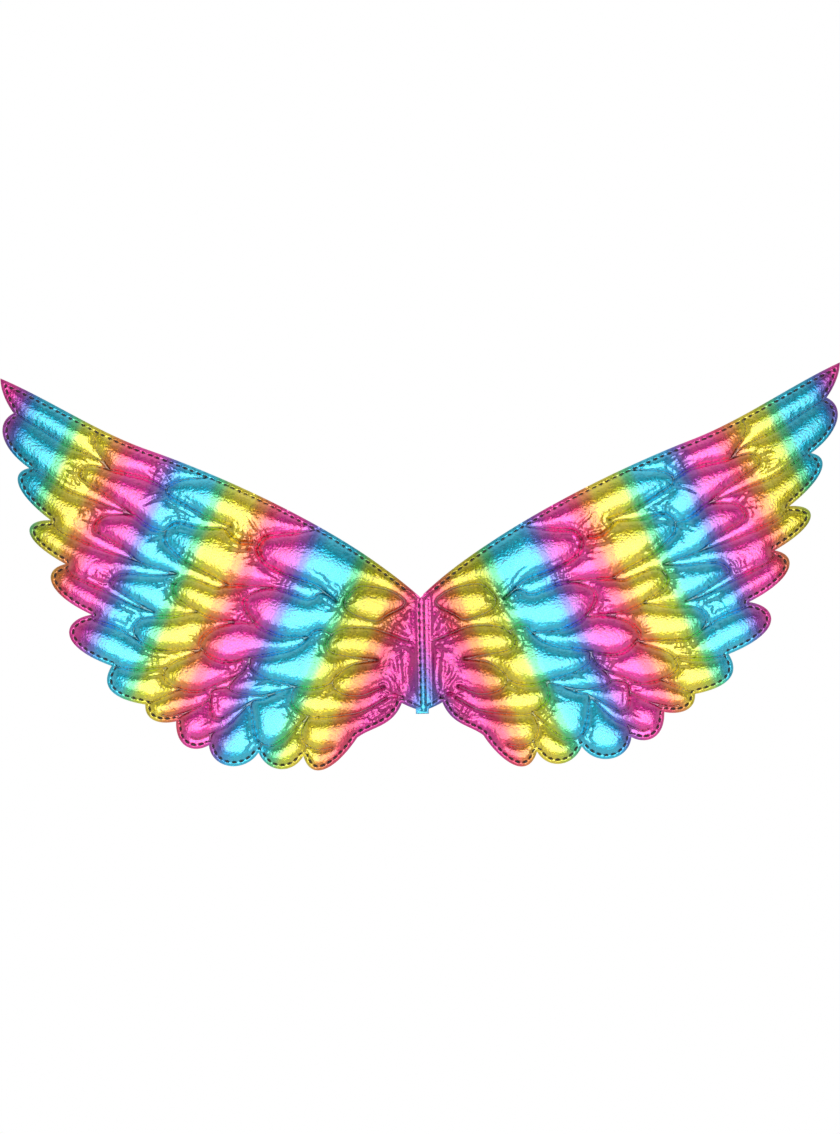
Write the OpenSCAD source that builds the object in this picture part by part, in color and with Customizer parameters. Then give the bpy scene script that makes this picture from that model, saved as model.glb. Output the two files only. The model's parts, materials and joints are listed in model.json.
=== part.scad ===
// Pair of padded fairy wings, worn on the back.
// Two quilted wings are lapped and sewn together along a short spine. A tape covers the seam
// at the back, and the ends of two elastic arm straps are sewn in under it.
// +Z is up, the outer face looks along -Y and the wearer's back is on the +Y side.
// The origin is the middle of the tape's rear face, half way up the seam.

/* [Wings] */
// Span from wing tip to wing tip
span = 600; // [540:5:700]
// Thickness of the padding
padding_t = 10; // [8:0.5:11]
// Thickness of one layer of cover fabric
cover_t = 0.8; // [0.6:0.1:1]
// Flat margin between the cut edge and the padding
margin = 6; // [5:0.5:7]

/* [Edge stitching] */
// Distance from one stitch to the next
stitch_pitch = 5.3; // [4.5:0.1:8]
// Length of thread that shows in one stitch
stitch_len = 3; // [2:0.1:3.5]
// Thickness of the sewing thread
thread_d = 0.7; // [0.4:0.1:0.7]
// Distance from the stitches to the cut edge
stitch_inset = 3; // [2.5:0.1:3.5]

/* [Spine] */
// Half the width of the sewn spine
spine_half_w = 5; // [4.5:0.1:5.2]
// Distance from the middle to the line where a wing folds
fold_x = 6; // [6:0.1:6.5]
// Thickness of the tape behind the seam
tape_t = 1; // [0.9:0.1:1.2]
// Width of the folded lap on the front of the seam
lap_w = 4.4; // [3.6:0.1:5]

/* [Straps] */
// Width of the elastic
strap_w = 20; // [14:1:22]
// Thickness of the elastic
strap_t = 1.5; // [1:0.1:1.8]
// Angle between a strap and straight back, as it stands at rest
strap_angle = 40; // [35:1:45]
// How far a loop reaches from its sewn ends
strap_reach = 110; // [90:1:130]

/* [Hidden] */

// The outline is drawn for this span and scaled to the one asked for.
drawn_span = 600;
size = span / drawn_span;

// One wing's outline from the notch at the top of the spine, clockwise, as Bezier pieces:
// [first handle, second handle, end point], each as [outwards, up from the notch].
notch = [0, 0];
LEADING_EDGE = [
    [[50, 47], [140, 89], [196, 109.5]],
    [[232, 123], [266, 147], [300, 162]]
];
LOBES = [
    [[300, 153], [295, 143], [290.5, 137]],
    [[303, 131], [302, 114], [279.5, 97.5]],
    [[293, 95], [291, 81], [264, 60]],
    [[284, 61], [288, 48], [253.5, 28.5]],
    [[271, 25], [268, 8], [235, -8]],
    [[255, -11], [262, -29], [220.5, -45]],
    [[228, -57], [224, -68], [196.5, -73]],
    [[197, -84], [187, -88], [174.5, -85.5]],
    [[175, -104], [162, -109], [151, -103]],
    [[149, -120], [126, -124], [115.5, -109]],
    [[109, -124], [91, -125], [83.5, -112]],
    [[77, -133], [58, -119], [45, -99.5]],
    [[35, -92], [21, -92], [14.5, -75.5]],
    [[10, -78], [5, -80], [0, -81.5]]
];
PIECES = concat(LEADING_EDGE, LOBES);
piece_steps = 8;
path_steps = 16;
drawn_seam_h = 81.5;
seam_h = drawn_seam_h * size;

// Depths from the wearer's back forwards: tape, strap ends, seam, lap.
ends_y = -tape_t - strap_t;
seam_t = 2.4;
seam_front_y = ends_y - seam_t;
mid_y = ends_y - seam_t / 2;
lap_t = 1.2;
lap_left_x = -1;
tape_half_w = spine_half_w - 0.3;
tape_top_gap = 2;
tape_tail = 2;

// The wing starts as far beyond the fold line as the spine ends before it.
wing_start_x = 2 * fold_x - spine_half_w;
padding_start_x = wing_start_x + 3;

// The padding is thinner towards its edge: [extra inset, share of the full thickness].
PADDING_STEPS = [[0, 0.5], [2.5, 0.8], [5.5, 1]];
thread_gap = 0.05;

// A strap's end lies flat under the tape, bends backwards and stops just before the line
// about which the loop swings.
end_start_x = 0.3;
end_bend_r = 2.4;
end_bend_x = spine_half_w + 0.2;
end_exit_angle = 20;
end_stop_y = 12;
swing_gap = 1;
strap_z = 24;
bend_steps = 8;
tack_rows = 3;
tack_len = 2.4;
loop_steps = 14;
twist_share = 0.3;

function bezier(p0, h1, h2, p3, t) =
    p0 * pow(1 - t, 3) + h1 * 3 * t * pow(1 - t, 2) + h2 * 3 * t * t * (1 - t) + p3 * pow(t, 3);
function bezier_slope(p0, h1, h2, p3, t) =
    (h1 - p0) * pow(1 - t, 2) + (h2 - h1) * 2 * t * (1 - t) + (p3 - h2) * t * t;
function unit(v) = v / norm(v);
function inward(v) = unit([v[1], -v[0]]);
function piece_start(i) = i == 0 ? notch : PIECES[i - 1][2];
function placed(p) = p * size + [0, seam_h / 2];
function piece_point(i, t) =
    placed(bezier(piece_start(i), PIECES[i][0], PIECES[i][1], PIECES[i][2], t));
function piece_inward(i, t) =
    inward(bezier_slope(piece_start(i), PIECES[i][0], PIECES[i][1], PIECES[i][2], t));

wing_outline = concat(
    [for (i = [0 : len(PIECES) - 1]) for (s = [0 : piece_steps - 1]) piece_point(i, s / piece_steps)],
    [piece_point(len(PIECES) - 1, 1)]
);

// Distance from a point to the nearest side of the outline.
function side_distance(p, a, b) =
    let (ab = b - a, t = max(0, min(1, (p - a) * ab / (ab * ab)))) norm(p - a - ab * t);
function edge_distance(p) =
    min([for (i = [0 : len(wing_outline) - 2]) side_distance(p, wing_outline[i], wing_outline[i + 1])]);

// The stitch line runs inside the outline, round each notch between two lobes.
function notch_inward(i) = unit(piece_inward(i, 1) + piece_inward(i + 1, 0));
raw_stitch_line = concat(
    [for (i = [0 : len(PIECES) - 1]) each concat(
        [for (s = [0 : path_steps]) piece_point(i, s / path_steps) + piece_inward(i, s / path_steps) * stitch_inset],
        i < len(PIECES) - 1 ? [piece_point(i, 1) + notch_inward(i) * stitch_inset] : []
    )]
);
stitch_line = [for (p = raw_stitch_line) if (edge_distance(p) > stitch_inset - 0.25) p];
stitch_line_at = [
    for (i = 0, d = 0; i < len(stitch_line);
         d = d + (i < len(stitch_line) - 1 ? norm(stitch_line[i + 1] - stitch_line[i]) : 0), i = i + 1) d
];
stitch_count = floor(stitch_line_at[len(stitch_line_at) - 1] / stitch_pitch);
function line_index(d) = min(len(stitch_line) - 2, len([for (a = stitch_line_at) if (a <= d) 1]) - 1);
function line_point(d) =
    let (i = line_index(d), step = stitch_line[i + 1] - stitch_line[i])
    stitch_line[i] + unit(step) * (d - stitch_line_at[i]);
// Each stitch as [its middle, its direction].
stitches = [
    for (n = [0 : stitch_count - 1])
        let (d = (n + 0.5) * stitch_pitch, a = line_point(d - stitch_len / 2), b = line_point(d + stitch_len / 2))
        [(a + b) / 2, unit(b - a)]
];

// Solid from y0 back to y1 with the outline of its 2-D children, drawn as [across, up].
module slab(y0, y1) {
    translate([0, y1, 0]) rotate([90, 0, 0]) linear_extrude(height = y1 - y0) children();
}

module beyond(x) {
    intersection() {
        children();
        translate([x, -span]) square([span, 2 * span]);
    }
}

module wing_shape(inset) {
    if (inset == 0) polygon(wing_outline);
    else offset(r = -inset, $fn = 16) polygon(wing_outline);
}

module both_sides() {
    children();
    mirror([1, 0, 0]) children();
}

// The strip of both wings' outlines between two lines up and down.
module spine_strip(x0, x1) {
    last = len(wing_outline) - 1;
    intersection() {
        polygon(concat(wing_outline, [for (i = [last - 1 : -1 : 1]) [-wing_outline[i][0], wing_outline[i][1]]]));
        translate([x0, -span]) square([x1 - x0, 2 * span]);
    }
}

module thread(at, along, y) {
    translate([at[0], y, at[1]])
        rotate([0, -atan2(along[1], along[0]), 0])
            rotate([0, 90, 0]) cylinder(d = thread_d, h = stitch_len, center = true, $fn = 16);
}

// Padding of the right wing; its faces are grown or shifted by the cover's thickness.
module padding_layers(depth_front, depth_back, grow) {
    for (step = PADDING_STEPS)
        slab(mid_y - depth_front * step[1] * padding_t / 2 - (depth_front > 0 ? grow : 0),
             mid_y + depth_back * step[1] * padding_t / 2 + (depth_back > 0 ? grow : 0))
            beyond(padding_start_x + step[0] - grow) wing_shape(margin + step[0] - grow);
}

module padding() {
    padding_layers(1, 1, 0);
}

module front_cover() {
    difference() {
        union() {
            slab(mid_y - cover_t, mid_y) beyond(wing_start_x) wing_shape(0);
            padding_layers(1, 0, cover_t);
        }
        padding_layers(1, 1, 0);
    }
}

module back_cover() {
    translate([0, 2 * mid_y, 0]) mirror([0, 1, 0]) front_cover();
}

module edge_stitching() {
    thread_y = cover_t + thread_gap + thread_d / 2;
    for (s = stitches)
        if (s[0][0] > wing_start_x + stitch_len) {
            thread(s[0], s[1], mid_y - thread_y);
            thread(s[0], s[1], mid_y + thread_y);
        }
}

module left_front_cover() { color("deepskyblue") mirror([1, 0, 0]) front_cover(); }
module left_padding() { color("white") mirror([1, 0, 0]) padding(); }
module left_back_cover() { color("hotpink") mirror([1, 0, 0]) back_cover(); }
module left_edge_stitching() { color("dimgray") mirror([1, 0, 0]) edge_stitching(); }
module right_front_cover() { color("deepskyblue") front_cover(); }
module right_padding() { color("white") padding(); }
module right_back_cover() { color("hotpink") back_cover(); }
module right_edge_stitching() { color("dimgray") edge_stitching(); }

// The flat margins of both wings, sewn on each other.
module centre_seam() {
    color("hotpink")
        slab(seam_front_y, ends_y) spine_strip(-spine_half_w, spine_half_w);
}

// The left wing's edge, folded over the right wing's on the front of the seam.
module seam_lap() {
    color("violet")
        slab(seam_front_y - lap_t, seam_front_y) spine_strip(lap_left_x, lap_left_x + lap_w);
}

// One row down the seam beside the lap and one down the lap's other edge.
module seam_stitching() {
    row_count = floor((seam_h - 2 * stitch_inset) / stitch_pitch);
    color("dimgray")
        for (n = [0 : row_count - 1])
            for (row = [[lap_left_x - thread_d, 0], [lap_left_x + lap_w - 2 * thread_d, lap_t]])
                thread([row[0], (n + 0.5 - row_count / 2) * stitch_pitch], [0, 1],
                       seam_front_y - row[1] - thread_gap - thread_d / 2);
}

// Where the stitches lie down both edges of the tape.
module tape_stitch_places() {
    row_count = floor((seam_h - 2 * stitch_inset) / stitch_pitch);
    both_sides()
        for (n = [0 : row_count - 1])
            translate([tape_half_w - thread_d, 0, (n + 0.5 - row_count / 2) * stitch_pitch])
                rotate([0, 90, 0]) children();
}

// Where the short rows of stitches lie that hold the straps' ends.
module tack_places() {
    both_sides()
        for (z = [-strap_z, strap_z])
            for (n = [0 : tack_rows - 1])
                translate([end_start_x + tack_len / 2, 0, z + (n - (tack_rows - 1) / 2) * strap_w / tack_rows])
                    children();
}

// A thread pulled down into the tape, and the hollow that it lies in.
module sunk_thread(length) {
    translate([0, -thread_gap - thread_d / 2, 0])
        rotate([0, 90, 0]) cylinder(d = thread_d, h = length, center = true, $fn = 16);
}

module thread_hollow(length) {
    wide = thread_d + 2 * thread_gap;
    translate([-length / 2 - thread_gap, -wide, -wide / 2])
        cube([length + 2 * thread_gap, wide + tape_t, wide]);
}

module seam_tape() {
    tape_h = seam_h - tape_top_gap + tape_tail;
    color("hotpink")
        difference() {
            slab(-tape_t, 0)
                translate([-tape_half_w, -seam_h / 2 - tape_tail]) square([2 * tape_half_w, tape_h]);
            tape_stitch_places() thread_hollow(stitch_len);
            tack_places() thread_hollow(tack_len);
        }
}

module tape_stitching() { color("dimgray") tape_stitch_places() sunk_thread(stitch_len); }

// The middle line of a strap's end, seen from above.
end_y = ends_y + strap_t / 2;
end_bend = 90 - end_exit_angle;
bend_stop = [end_bend_x + end_bend_r * sin(end_bend), end_y + end_bend_r * (1 - cos(end_bend))];
exit_dir = [sin(end_exit_angle), cos(end_exit_angle)];
end_stop = bend_stop + exit_dir * (end_stop_y - bend_stop[1]) / exit_dir[1];
swing_at = end_stop + exit_dir * swing_gap;

function bend_side(side) = [
    for (n = [0 : bend_steps])
        let (a = end_bend * n / bend_steps, r = end_bend_r - side * strap_t / 2)
        [end_bend_x + r * sin(a), end_y + end_bend_r - r * cos(a)]
];
exit_side = [-exit_dir[1], exit_dir[0]] * strap_t / 2;
strap_end_profile = concat(
    [[end_start_x, end_y + strap_t / 2]], bend_side(1), [end_stop + exit_side, end_stop - exit_side],
    [for (n = [bend_steps : -1 : 0]) bend_side(-1)[n]], [[end_start_x, end_y - strap_t / 2]]
);

module strap_ends() {
    color("white")
        both_sides()
            for (z = [-strap_z, strap_z])
                translate([0, 0, z - strap_w / 2]) linear_extrude(height = strap_w) polygon(strap_end_profile);
}

module strap_tacks() { color("dimgray") tack_places() sunk_thread(tack_len); }

// The loop's middle line in its own upright plane, as [away from the swing line, up].
LOOP = [
    [[0, strap_z], [45, strap_z], [strap_reach, 50], [strap_reach, -12]],
    [[strap_reach, -12], [strap_reach, -60], [45, -strap_z], [0, -strap_z]]
];
function loop_bezier(half, t) = bezier(LOOP[half][0], LOOP[half][1], LOOP[half][2], LOOP[half][3], t);
function loop_bezier_slope(half, t) =
    bezier_slope(LOOP[half][0], LOOP[half][1], LOOP[half][2], LOOP[half][3], t);
function loop_half(u) = u < 0.5 ? 0 : 1;
function loop_point(u) = loop_bezier(loop_half(u), 2 * u - loop_half(u));
function loop_slope(u) = unit(loop_bezier_slope(loop_half(u), 2 * u - loop_half(u)));
function smooth(t) = let (c = max(0, min(1, t))) c * c * (3 - 2 * c);
// The elastic leaves its ends upright and lies flat against the arm in between.
function loop_twist(u) = 90 * smooth(min(u, 1 - u) / twist_share);
// From the loop's own plane to the wings' axes: away from the swing line, across, up.
away = [sin(strap_angle), cos(strap_angle)];
across = [cos(strap_angle), -sin(strap_angle)];
function in_place(p) = concat(swing_at + away * (p[0] + swing_gap) + across * p[1], [p[2]]);
function loop_ring(u) =
    let (m = loop_point(u), d = loop_slope(u), a = loop_twist(u),
         wide = [-d[1] * cos(a), sin(a), d[0] * cos(a)] * strap_w / 2,
         thick = [d[1] * sin(a), cos(a), -d[0] * sin(a)] * strap_t / 2,
         middle = [m[0], 0, m[1]])
    [for (c = [[1, 1], [1, -1], [-1, -1], [-1, 1]]) in_place(middle + wide * c[0] + thick * c[1])];

module strap() {
    ring_count = 2 * loop_steps + 1;
    points = [for (n = [0 : ring_count - 1]) each loop_ring(n / (ring_count - 1))];
    sides = [
        for (n = [0 : ring_count - 2]) for (k = [0 : 3])
            let (a = 4 * n + k, b = 4 * n + (k + 1) % 4)
            each [[a, b, b + 4], [a, b + 4, a + 4]]
    ];
    last = 4 * (ring_count - 1);
    ends = [[3, 2, 1], [3, 1, 0], [last, last + 1, last + 2], [last, last + 2, last + 3]];
    polyhedron(points = points, faces = concat(sides, ends), convexity = 6);
}

module left_strap() { color("white") mirror([1, 0, 0]) strap(); }
module right_strap() { color("white") strap(); }

left_front_cover();
left_padding();
left_back_cover();
left_edge_stitching();
right_front_cover();
right_padding();
right_back_cover();
right_edge_stitching();
centre_seam();
seam_lap();
seam_stitching();
seam_tape();
tape_stitching();
strap_ends();
strap_tacks();
left_strap();
right_strap();
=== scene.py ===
"""Pair of padded fairy wings in rainbow foil fabric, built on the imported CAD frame."""

import json
import math

import bpy
import numpy as np
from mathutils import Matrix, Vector, kdtree, noise
from mathutils.bvhtree import BVHTree
from mathutils.geometry import delaunay_2d_cdt


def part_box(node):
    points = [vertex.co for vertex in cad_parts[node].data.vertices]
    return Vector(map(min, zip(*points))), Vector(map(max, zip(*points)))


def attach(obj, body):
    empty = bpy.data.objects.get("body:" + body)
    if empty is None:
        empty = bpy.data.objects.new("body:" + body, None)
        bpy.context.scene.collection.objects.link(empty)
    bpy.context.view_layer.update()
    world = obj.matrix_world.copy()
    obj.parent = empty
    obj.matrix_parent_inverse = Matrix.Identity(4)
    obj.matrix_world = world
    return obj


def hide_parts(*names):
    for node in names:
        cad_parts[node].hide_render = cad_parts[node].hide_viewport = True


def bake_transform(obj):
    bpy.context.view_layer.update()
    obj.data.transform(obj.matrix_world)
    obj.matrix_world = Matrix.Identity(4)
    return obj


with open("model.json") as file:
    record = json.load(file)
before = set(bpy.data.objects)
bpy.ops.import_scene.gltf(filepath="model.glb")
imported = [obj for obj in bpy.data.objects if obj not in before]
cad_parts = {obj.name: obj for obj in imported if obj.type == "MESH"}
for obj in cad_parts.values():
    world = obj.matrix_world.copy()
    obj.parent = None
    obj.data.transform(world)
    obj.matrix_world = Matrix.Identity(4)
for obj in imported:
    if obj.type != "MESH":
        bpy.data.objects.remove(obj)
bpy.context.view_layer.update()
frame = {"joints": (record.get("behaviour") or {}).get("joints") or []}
scene = bpy.context.scene

# ---------------------------------------------------------------- sizes, from the frame
cover_low, cover_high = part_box("right_front_cover")
seam_low, seam_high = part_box("centre_seam")
tape_low, tape_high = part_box("seam_tape")
DRAWN_HALF_SPAN = 300
MM = cover_high.x / DRAWN_HALF_SPAN
NOTCH_Z = (tape_high.z - tape_low.z) / 2
TAPE_FACE_Y = tape_high.y - 0.1 * MM
MID_Y = cover_high.y

# Sizes in the wing's drawing, in its own mm
STITCH_INSET = 3
STITCH_PITCH = 5.3
STITCH_LENGTH = 3
EDGE_ROWS = (0.3, 0.8, 1.5, 2.2, STITCH_INSET, STITCH_INSET + 0.9)
EDGE_ROUND = 1.6
MARGIN_HEIGHT = 1.1
SPINE_HEIGHT = 1.35
STITCH_GROOVE = 0.45
STITCH_BUMP = 0.55
SPINE_GROOVE = 0.2
SPINE_RIDGE = 0.5
SPINE_HOLLOW = 0.75
LINE_WANDER = 0.7
PUFF_HEIGHT = 5.2
WELT_HEIGHT = 0.85
FAR = 9.0

# How far the dome that a puff starts from has to rise before the wadding holds it: middle of the wing, ends
PUFF_EASE = 31
SOFT_EASE = 62
# The back's puffs against the front's, and how far the wings' tops lean to the right
BACK_SHARE = 0.9
WING_LEAN = 0.019
# A thread's ply, and how far it runs from the thread's middle
PLY_RADIUS = 0.29 * MM
PLY_OFFSET = 0.27 * MM

# ---------------------------------------------------------------- the wing's drawing, in mm
# Outline of the right wing from the notch at the top of the spine, clockwise, as Bezier
# pieces (first handle, second handle, end), each as (outwards, up from the notch).
OUTLINE = [
    ((50, 47), (140, 89), (196, 109.5)),
    ((232, 123), (266, 147), (300, 162)),
    ((300, 153), (295, 143), (290.5, 137)),
    ((303, 131), (302, 114), (279.5, 97.5)),
    ((293, 95), (291, 81), (264, 60)),
    ((284, 61), (288, 48), (253.5, 28.5)),
    ((271, 25), (268, 8), (235, -8)),
    ((255, -11), (262, -29), (220.5, -45)),
    ((228, -57), (224, -68), (196.5, -73)),
    ((197, -84), (187, -88), (174.5, -85.5)),
    ((175, -104), (162, -109), (151, -103)),
    ((149, -120), (126, -124), (115.5, -109)),
    ((109, -124), (91, -125), (83.5, -112)),
    ((77, -133), (58, -119), (45, -99.5)),
    ((35, -92), (21, -92), (14.5, -75.5)),
    ((10, -78), (5, -80), (0, -81.5)),
]
# Pressed quilting lines that draw the feathers, each a smooth curve through its points.
QUILTING = [
    # first row of feathers beside the spine
    [(11, -4), (22, 5), (40, 8.8), (48, 5.8), (54, -2.5), (50, -10), (33, -16.5), (24, -12.5), (11, -4)],
    [(9, -31), (32, -22.5), (45, -21), (56, -22), (63.5, -26), (67.5, -32.5), (64, -38), (54, -41),
     (31, -44.5)],
    [(31, -44.5), (48, -47.5), (60, -55.5), (62.5, -60), (61, -64.5), (56, -68), (48, -70), (40, -69.5),
     (27, -64)],
    [(62.5, -60), (70, -63), (80, -64), (90, -62)],
    [(90, -62), (92, -70), (90, -77), (80, -84), (70, -85), (50, -83), (40, -80.5), (25, -72)],
    [(80, -84), (84, -92), (84.5, -98), (81, -104), (72, -107.5), (63, -106.5)],
    # second row
    [(72, 50), (90, 47), (108, 45.5), (113, 42), (115.5, 37), (114, 31), (109, 25), (94, 17), (75, 10),
     (60, -2)],
    [(60, -2), (70, 4.5), (80, 1), (96, 6.5), (104, 8.5), (112, 8.5), (120, 5.5), (125, 0), (125, -5),
     (122, -11), (116, -18), (108, -22.5), (98, -26), (80, -27)],
    [(64, -25), (70, -22), (76, -23), (80, -27), (90, -34), (105, -38), (122, -41)],
    [(122, -41), (121, -48), (115, -53.5), (107, -57), (90, -62)],
    [(122, -41), (126, -50), (131, -54), (136.5, -61.5), (133, -65), (125, -67), (115, -68), (105, -66.5),
     (90, -62)],
    [(80, -84), (90, -93), (98, -100), (106, -104), (113, -102.5)],
    [(113, -102.5), (117.5, -97), (120.5, -80), (120, -72), (112, -70), (104, -67)],
    # third row
    [(150, 88.5), (166, 87.5), (174, 86), (179.5, 83), (181, 80), (178, 75), (162, 65.5), (150, 59),
     (135, 53)],
    [(120, 41), (128, 41.5), (134, 45), (138, 50), (142, 52.5), (158, 53), (172, 56), (178, 54.5),
     (182, 50), (182, 44), (179, 39), (167, 28), (150, 19), (137, 11)],
    [(104, 8.5), (120, 10), (137, 11), (145, 10), (158, 14.5), (164, 16.5), (170, 16.5), (174, 14),
     (176, 10), (175, 5), (170, 0), (156, -9), (143, -14), (134, -15)],
    [(122, -11), (120, -16), (130, -15.5), (140, -17), (148, -20), (154, -24.5), (157, -30), (155, -34),
     (150, -39), (143, -42.5), (135, -43.5), (122, -41)],
    [(157, -35), (172, -41), (179, -45), (183, -50), (183, -55), (179, -59), (172, -62.5), (163, -64.5),
     (154, -63.5), (131, -54)],
    [(136.5, -61.5), (142, -62), (148, -63.5), (150, -68), (150, -75), (149, -81), (145, -83.5),
     (140, -82.5), (120, -72)],
    [(120, -72), (136, -87), (144, -92), (158, -98), (163, -97)],
    [(150, -70), (163, -77.5), (178, -81.5), (184, -80.5)],
    # fourth row
    [(181, 80), (190, 86), (200, 90), (220, 94.5), (228, 97), (235, 98), (241, 95.5), (242, 91),
     (238, 87), (220, 74), (206, 63)],
    [(222, 95), (227, 103), (231, 110), (232.5, 117), (230, 122)],
    [(182, 50), (190, 52), (198, 57), (206, 63), (222, 63), (228, 61), (231.5, 57), (232, 53), (228, 49),
     (212, 38.5), (199, 28.5), (174, 20)],
    [(174, 20), (188, 19.5), (208, 20.5), (216, 19), (220.5, 14.5), (218, 10.5), (205, 1.5), (190, -7)],
    [(160, -7.5), (178, -10), (190, -10), (198, -11.5), (203.5, -16), (204.5, -21), (201, -27),
     (195, -31), (186, -34), (157, -34.5)],
    # lines from the notches between the lobes
    [(290.5, 137), (272, 126), (252, 113.5), (232, 104), (222, 95)],
    [(279.5, 97.5), (272, 94.5), (252, 81), (232, 73.5), (206, 63)],
    [(264, 60), (261, 55.5), (255, 50.5), (232, 40.5), (199, 28.5)],
    [(253.5, 28.5), (252, 24), (247, 19), (228, 10), (204, -2), (190, -7)],
    [(235, -8), (233, -11.5), (216, -18), (201, -27)],
    [(220.5, -45), (203, -48), (183, -47)],
    [(196.5, -73), (190, -70.5), (172, -62.5)],
    [(174.5, -85.5), (173, -83), (163, -77.5)],
    [(151, -103), (149, -95)],
    [(115.5, -109), (113, -102.5)],
    [(83.5, -112), (81, -104)],
]

# ---------------------------------------------------------------- colours
PINK = (0.80, 0.022, 0.33)
RED = (0.78, 0.035, 0.12)
ORANGE = (0.74, 0.22, 0.025)
YELLOW = (0.74, 0.61, 0.012)
LIME = (0.50, 0.60, 0.015)
GREEN = (0.06, 0.56, 0.22)
CYAN = (0.003, 0.52, 0.72)
BLUE = (0.008, 0.34, 0.70)
VIOLET = (0.11, 0.12, 0.52)
PURPLE = (0.38, 0.045, 0.42)
WHITE = (1, 1, 1, 1)
# The rainbow as (place in one band, colour)
RAINBOW = [
    (0.00, PINK), (0.03, PINK), (0.11, RED), (0.19, ORANGE), (0.27, YELLOW), (0.34, YELLOW), (0.41, LIME),
    (0.48, GREEN), (0.55, CYAN), (0.70, CYAN), (0.76, BLUE), (0.81, VIOLET), (0.86, PURPLE), (0.93, PINK),
    (1.00, PINK),
]
# The bands' length outwards, how much of the way up they take in, and the left wing's shift
BAND_LENGTH = 125
BAND_SLOPE = 0.45
LEFT_BAND_SHIFT = 0.045
# How dark the painted shade makes the foil in a crease, and near the spine and the tips
CREASE_SHADE = 0.3
PAINTED_END_SHADE = 0.78
THREAD_COLOUR = (0.04, 0.026, 0.026)
ELASTIC_COLOUR = (0.82, 0.81, 0.78)
WADDING_COLOUR = (0.86, 0.86, 0.85)


# ---------------------------------------------------------------- curves
def bezier(start, first, second, end, count):
    """Points along one Bezier piece."""
    t = np.linspace(0, 1, count + 1)[:, None]
    a, b, c, d = (np.array(p, float) for p in (start, first, second, end))
    return a * (1 - t) ** 3 + b * 3 * t * (1 - t) ** 2 + c * 3 * t * t * (1 - t) + d * t ** 3


def outline_points(step):
    """The outline with a point about every step mm, keeping the corners."""
    start = (0, 0)
    rows = []
    for first, second, end in OUTLINE:
        rough = bezier(start, first, second, end, 60)
        length = np.linalg.norm(np.diff(rough, axis=0), axis=1)
        at = np.concatenate([[0], np.cumsum(length)])
        count = max(2, round(at[-1] / step))
        places = np.linspace(0, at[-1], count + 1)[:-1]
        rows.append(np.column_stack([np.interp(places, at, rough[:, k]) for k in (0, 1)]))
        start = end
    rows.append(np.array([start], float))
    return np.concatenate(rows)


def smooth_curve(points, step):
    """A Catmull-Rom curve through the points, keeping each of them, as points about step mm apart."""
    p = np.array(points, float)
    closed = np.allclose(p[0], p[-1])
    before = p[-2] if closed else 2 * p[0] - p[1]
    after = p[1] if closed else 2 * p[-1] - p[-2]
    q = np.vstack([before, p, after])
    rows = []
    for i in range(1, len(q) - 2):
        a, b, c, d = q[i - 1:i + 3]
        count = max(1, round(np.linalg.norm(c - b) / step))
        t = (np.arange(count) / count)[:, None]
        rows.append(0.5 * (2 * b + (c - a) * t + (2 * a - 5 * b + 4 * c - d) * t * t
                           + (3 * b - a - 3 * c + d) * t ** 3))
    rows.append(p[-1:])
    return np.concatenate(rows)


def inside(points, loop):
    """Which points lie inside a closed loop."""
    x, y = points[:, 0][:, None], points[:, 1][:, None]
    x0, y0 = loop[:, 0][None], loop[:, 1][None]
    x1, y1 = np.roll(loop[:, 0], -1)[None], np.roll(loop[:, 1], -1)[None]
    crosses = (y0 > y) != (y1 > y)
    with np.errstate(divide="ignore", invalid="ignore"):
        hit = crosses & (x < (x1 - x0) * (y - y0) / (y1 - y0) + x0)
    return hit.sum(axis=1) % 2 == 1


class Nearest:
    """Finds the nearest of many samples in the wing's drawing."""

    def __init__(self, samples):
        self.tree = kdtree.KDTree(len(samples))
        for i, p in enumerate(samples):
            self.tree.insert((p[0], p[1], 0), i)
        self.tree.balance()

    def __call__(self, points):
        found = [self.tree.find((p[0], p[1], 0)) for p in points]
        return np.array([f[2] for f in found]), np.array([f[1] for f in found])


def along(curve):
    """How far along a curve each of its points lies."""
    return np.concatenate([[0], np.cumsum(np.linalg.norm(np.diff(curve, axis=0), axis=1))])


EDGE = outline_points(0.3)
to_edge = Nearest(EDGE)


# ---------------------------------------------------------------- the flat pattern of a cover
def clipped_outline(step, inner):
    """The outline's part beyond x = inner, closed by a straight inner side."""
    p = outline_points(step)
    keep = np.where(p[:, 0] > inner + 0.3 * step)[0]
    first, last = keep[0], keep[-1]

    def cut(a, b):
        t = (inner - a[0]) / (b[0] - a[0])
        return a + (b - a) * t

    start = cut(p[first - 1], p[first])
    end = cut(p[last + 1], p[last])
    count = round((start[1] - end[1]) / step)
    side = np.column_stack([np.full(count + 1, float(inner)), np.linspace(end[1], start[1], count + 1)])
    return np.vstack([p[first:last + 1], side])


def inner_row(step, depth):
    """Points on the line that runs depth mm inside the outline."""
    p = outline_points(step)
    slope = np.gradient(p, axis=0)
    slope /= np.linalg.norm(slope, axis=1)[:, None]
    row = p + np.column_stack([slope[:, 1], -slope[:, 0]]) * depth
    distance, _ = to_edge(row)
    return row[distance > depth - 0.12]


STITCHES = inner_row(0.3, STITCH_INSET)
to_stitches = Nearest(STITCHES)
STITCHES_AT = along(STITCHES)


def thinned(points, least):
    """Drops points that are closer than least mm to one before them."""
    tree = {}
    kept = []
    for p in points:
        key = (int(p[0] // least), int(p[1] // least))
        near = [q for i in (-1, 0, 1) for j in (-1, 0, 1) for q in tree.get((key[0] + i, key[1] + j), [])]
        if all((p[0] - q[0]) ** 2 + (p[1] - q[1]) ** 2 > least * least for q in near):
            tree.setdefault(key, []).append(p)
            kept.append(p)
    return np.array(kept)


# A fixed seed for the smooth random moves, which would follow the clock without one
noise.seed_set(7)


def uneven(*place):
    """A smooth random number from about -1 to 1 for a place."""
    return noise.noise(Vector(place))


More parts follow.
